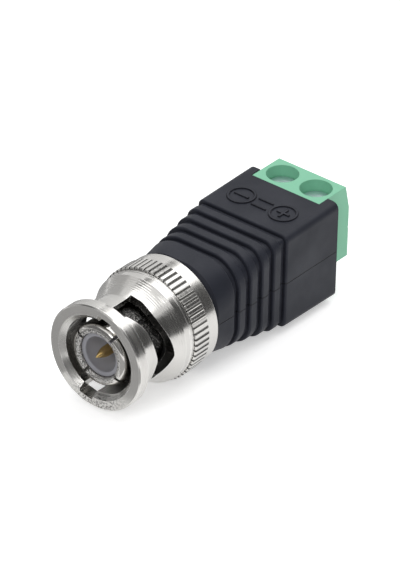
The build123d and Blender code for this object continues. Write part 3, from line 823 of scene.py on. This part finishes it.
def seen_ray(tree):
    """A mask that is 1 for the rays of the camera and of what it sees by reflection or through glass."""
    paths = add_node(tree, "ShaderNodeLightPath")
    mirrored = math_node(
        tree, "MAXIMUM", paths.outputs["Is Glossy Ray"], paths.outputs["Is Transmission Ray"]
    )
    return math_node(tree, "MAXIMUM", paths.outputs["Is Camera Ray"], mirrored)


floor_level = cad_bounds[0][2]
floor_mesh = bpy.data.meshes.new("floor")
sides = ((-1, -1), (1, -1), (1, 1), (-1, 1))
floor_corners = [(x * FLOOR_SIZE, y * FLOOR_SIZE, floor_level) for x, y in sides]
floor_mesh.from_pydata(floor_corners, [], [(0, 1, 2, 3)])
floor = bpy.data.objects.new("floor", floor_mesh)
bpy.context.scene.collection.objects.link(floor)
floor_material, tree, shader = new_material("floor_white", FLOOR_COLOUR, 0.0, FLOOR_ROUGHNESS)
shader.inputs["Specular IOR Level"].default_value = FLOOR_GLOSS
glow_strength = math_node(tree, "MULTIPLY", seen_ray(tree), FLOOR_GLOW)
glow = add_node(tree, "ShaderNodeEmission", inputs={"Strength": glow_strength})
both = add_node(tree, "ShaderNodeAddShader", inputs={0: shader.outputs[0], 1: glow.outputs[0]})
tree.links.new(both.outputs[0], tree.nodes["Material Output"].inputs["Surface"])
floor_mesh.materials.append(floor_material)
print("floor at", round(floor_level / MM, 2), "mm")

# %% [markdown]
# The world is the white room round the studio. A picture of a real studio could light the object too,
# but plain white keeps the colours as they are written. It shows at full white, and lights the object at
# about half of that, so that nothing pale bleaches out.

# %% World
WORLD_LIGHT = 0.52

world = bpy.data.worlds.new("studio")
bpy.context.scene.world = world
world.use_nodes = True
tree = world.node_tree
background = tree.nodes["Background"]
background.inputs["Color"].default_value = (1, 1, 1, 1)
extra = math_node(tree, "MULTIPLY", seen_ray(tree), 1 - WORLD_LIGHT)
tree.links.new(math_node(tree, "ADD", WORLD_LIGHT, extra), background.inputs["Strength"])
print("world light", WORLD_LIGHT)


# %% [markdown]
# Nickel shows whatever stands round it. In an all-white room it would look like paper, so a product
# photographer stands dark cards just out of the picture. Each card here is plain grey and only there for
# reflections: it throws no shadow, and the camera never sees it. A painted environment image would do
# the same, but cards are easier to move one at a time.

# %% Card helpers
CARD_STEPS = 16


def stand_card(name, points, faces, grey):
    """A card that only reflections see, plain grey from either side."""
    mesh = bpy.data.meshes.new(name)
    mesh.from_pydata(points, [], faces)
    card = bpy.data.objects.new(name, mesh)
    bpy.context.scene.collection.objects.link(card)
    material, tree, _ = new_material(name, (0, 0, 0), 0.0, 1.0)
    colour = (grey, grey, grey, 1)
    plain = add_node(tree, "ShaderNodeEmission", inputs={"Color": colour, "Strength": 1.0})
    tree.links.new(plain.outputs[0], tree.nodes["Material Output"].inputs["Surface"])
    mesh.materials.append(material)
    card.visible_camera = False
    card.visible_diffuse = False
    card.visible_shadow = False
    card.visible_transmission = False


def bent_card(name, start, end, distance, low, high, grey):
    """A card bent round the object between two angles in degrees, from +X toward +Y, and two heights."""
    points = []
    for step in range(CARD_STEPS + 1):
        turn = math.radians(start + (end - start) * step / CARD_STEPS)
        x, y = distance * math.cos(turn), distance * math.sin(turn)
        points += [(x, y, low), (x, y, high)]
    faces = [(2 * i, 2 * i + 2, 2 * i + 3, 2 * i + 1) for i in range(CARD_STEPS)]
    stand_card(name, points, faces, grey)


def flat_card(name, x_range, y_range, height, grey):
    """A card that lies flat, over a range of X and a range of Y."""
    (left, right), (near, far) = x_range, y_range
    points = [(left, near, height), (right, near, height), (right, far, height), (left, far, height)]
    stand_card(name, points, [(0, 1, 2, 3)], grey)


print("card helpers ready")

# %% [markdown]
# Two cards lie on the floor, before the mouth and along the left side, and grey the underside of the
# nut. Five are bent round the object: dark ones on the right, high on the left and at the back, a mid
# grey one in front, and a pale one at the left. Together they give the nickel its dark and light bands.

# %% Cards
CARD_FOOT = -0.006
just_above_floor = floor_level + 0.1 * MM

flat_card(
    "card_low_front", x_range=(-0.12, 0.03), y_range=(-0.14, -0.004), height=just_above_floor, grey=0.50
)
flat_card(
    "card_low_left", x_range=(-0.12, -0.0078), y_range=(-0.004, 0.12), height=just_above_floor, grey=0.45
)
bent_card("card_right", start=-38, end=66, distance=0.40, low=CARD_FOOT, high=0.40, grey=0.09)
bent_card("card_high_left", start=182, end=225, distance=0.25, low=0.36, high=0.62, grey=0.06)
bent_card("card_left", start=112, end=127, distance=0.42, low=0.25, high=0.42, grey=0.06)
bent_card("card_back", start=140, end=200, distance=0.42, low=CARD_FOOT, high=0.30, grey=0.60)
bent_card("card_front", start=-160, end=-40, distance=0.38, low=CARD_FOOT, high=0.34, grey=0.20)
print("cards up")


# %% [markdown]
# The lamps. A big soft one hangs over and behind the adapter and gives the metal its broad highlight.
# A smaller one in front, a little to the right and above, lightens the mouth and the near side. Area
# lamps are used because their size sets how soft the shadow is, as a softbox's does.

# %% Lamps
LIT_POINT = Vector((0, 0.02, 0))


def soft_lamp(name, place, size, watts):
    """A square area lamp at a place, turned toward the object."""
    lamp = bpy.data.lights.new(name, "AREA")
    lamp.size = size
    lamp.energy = watts
    holder = bpy.data.objects.new(name, lamp)
    holder.location = place
    holder.rotation_euler = (LIT_POINT - Vector(place)).to_track_quat("-Z", "Y").to_euler()
    bpy.context.scene.collection.objects.link(holder)


soft_lamp("overhead", place=(-0.02, 0.25, 0.55), size=0.70, watts=2.1)
soft_lamp("fill", place=(0.16, -0.48, 0.42), size=0.30, watts=0.9)
print("lamps lit")
